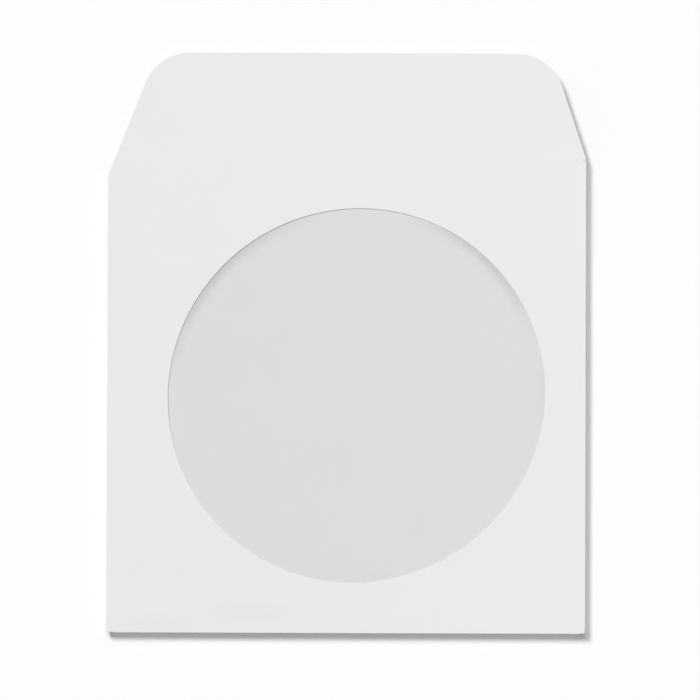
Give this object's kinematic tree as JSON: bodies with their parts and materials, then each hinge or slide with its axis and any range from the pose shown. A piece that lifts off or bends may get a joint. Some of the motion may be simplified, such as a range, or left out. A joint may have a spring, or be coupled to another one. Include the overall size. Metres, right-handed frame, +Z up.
{
  "type": "cd sleeve",
  "caption": "Empty white paper sleeve for a compact disc, with a round clear-film window and an open top flap with rounded corners.",
  "frame": {"origin": "on the surface that the sleeve lies on, below the middle of the sleeve with its flap open", "axes": "+Z up out of the window side, +Y towards the open flap's free edge, +X across the sleeve"},
  "size_m": [0.127, 0.155, 0.0025],
  "materials": {
    "white_paper": "matte",
    "clear_film": "gloss"
  },
  "bodies": {
    "root": {"paper_sleeve": "white_paper", "window_film": "clear_film"}
  },
  "joints": []
}
